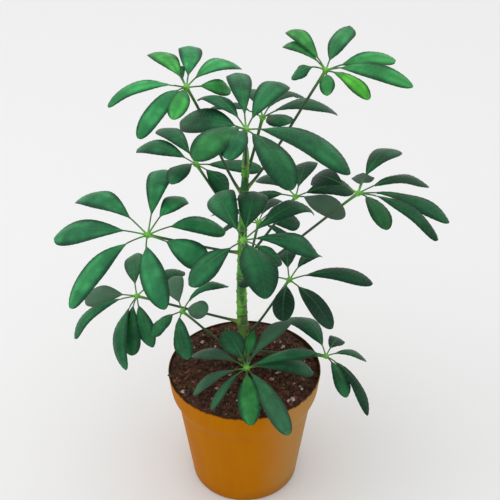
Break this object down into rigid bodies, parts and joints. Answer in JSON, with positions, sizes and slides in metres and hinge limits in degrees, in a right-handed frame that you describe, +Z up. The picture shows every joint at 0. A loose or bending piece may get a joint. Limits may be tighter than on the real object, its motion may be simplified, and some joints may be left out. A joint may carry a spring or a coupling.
{
  "type": "potted umbrella plant",
  "caption": "Young umbrella plant with long-stalked compound leaves of radiating leaflets on one upright stem, growing in a filled round tapered plastic pot.",
  "frame": {"origin": "centre of the pot's base, on the surface it stands on", "axes": "+Z up along the pot's axis, -Y towards the front of the plant, +X to the right seen from the front"},
  "size_m": [0.2944, 0.26, 0.3917],
  "materials": {
    "pot_plastic": "satin moulded",
    "potting_soil": "moist crumbly peat",
    "green_stem": "smooth young bark",
    "leaf": "waxy satin"
  },
  "bodies": {
    "root": {"pot": "pot_plastic", "soil": "potting_soil", "stem": "green_stem", "leaf_top_left": "leaf", "leaf_top_right": "leaf", "leaf_upper_front": "leaf", "leaf_upper_back": "leaf", "leaf_left_back": "leaf", "leaf_left": "leaf", "leaf_front": "leaf", "leaf_right_back": "leaf", "leaf_right": "leaf", "leaf_back": "leaf", "leaf_right_low": "leaf", "leaf_left_low": "leaf", "leaf_small_left": "leaf", "leaf_front_low": "leaf", "leaf_small_right": "leaf"}
  },
  "joints": []
}
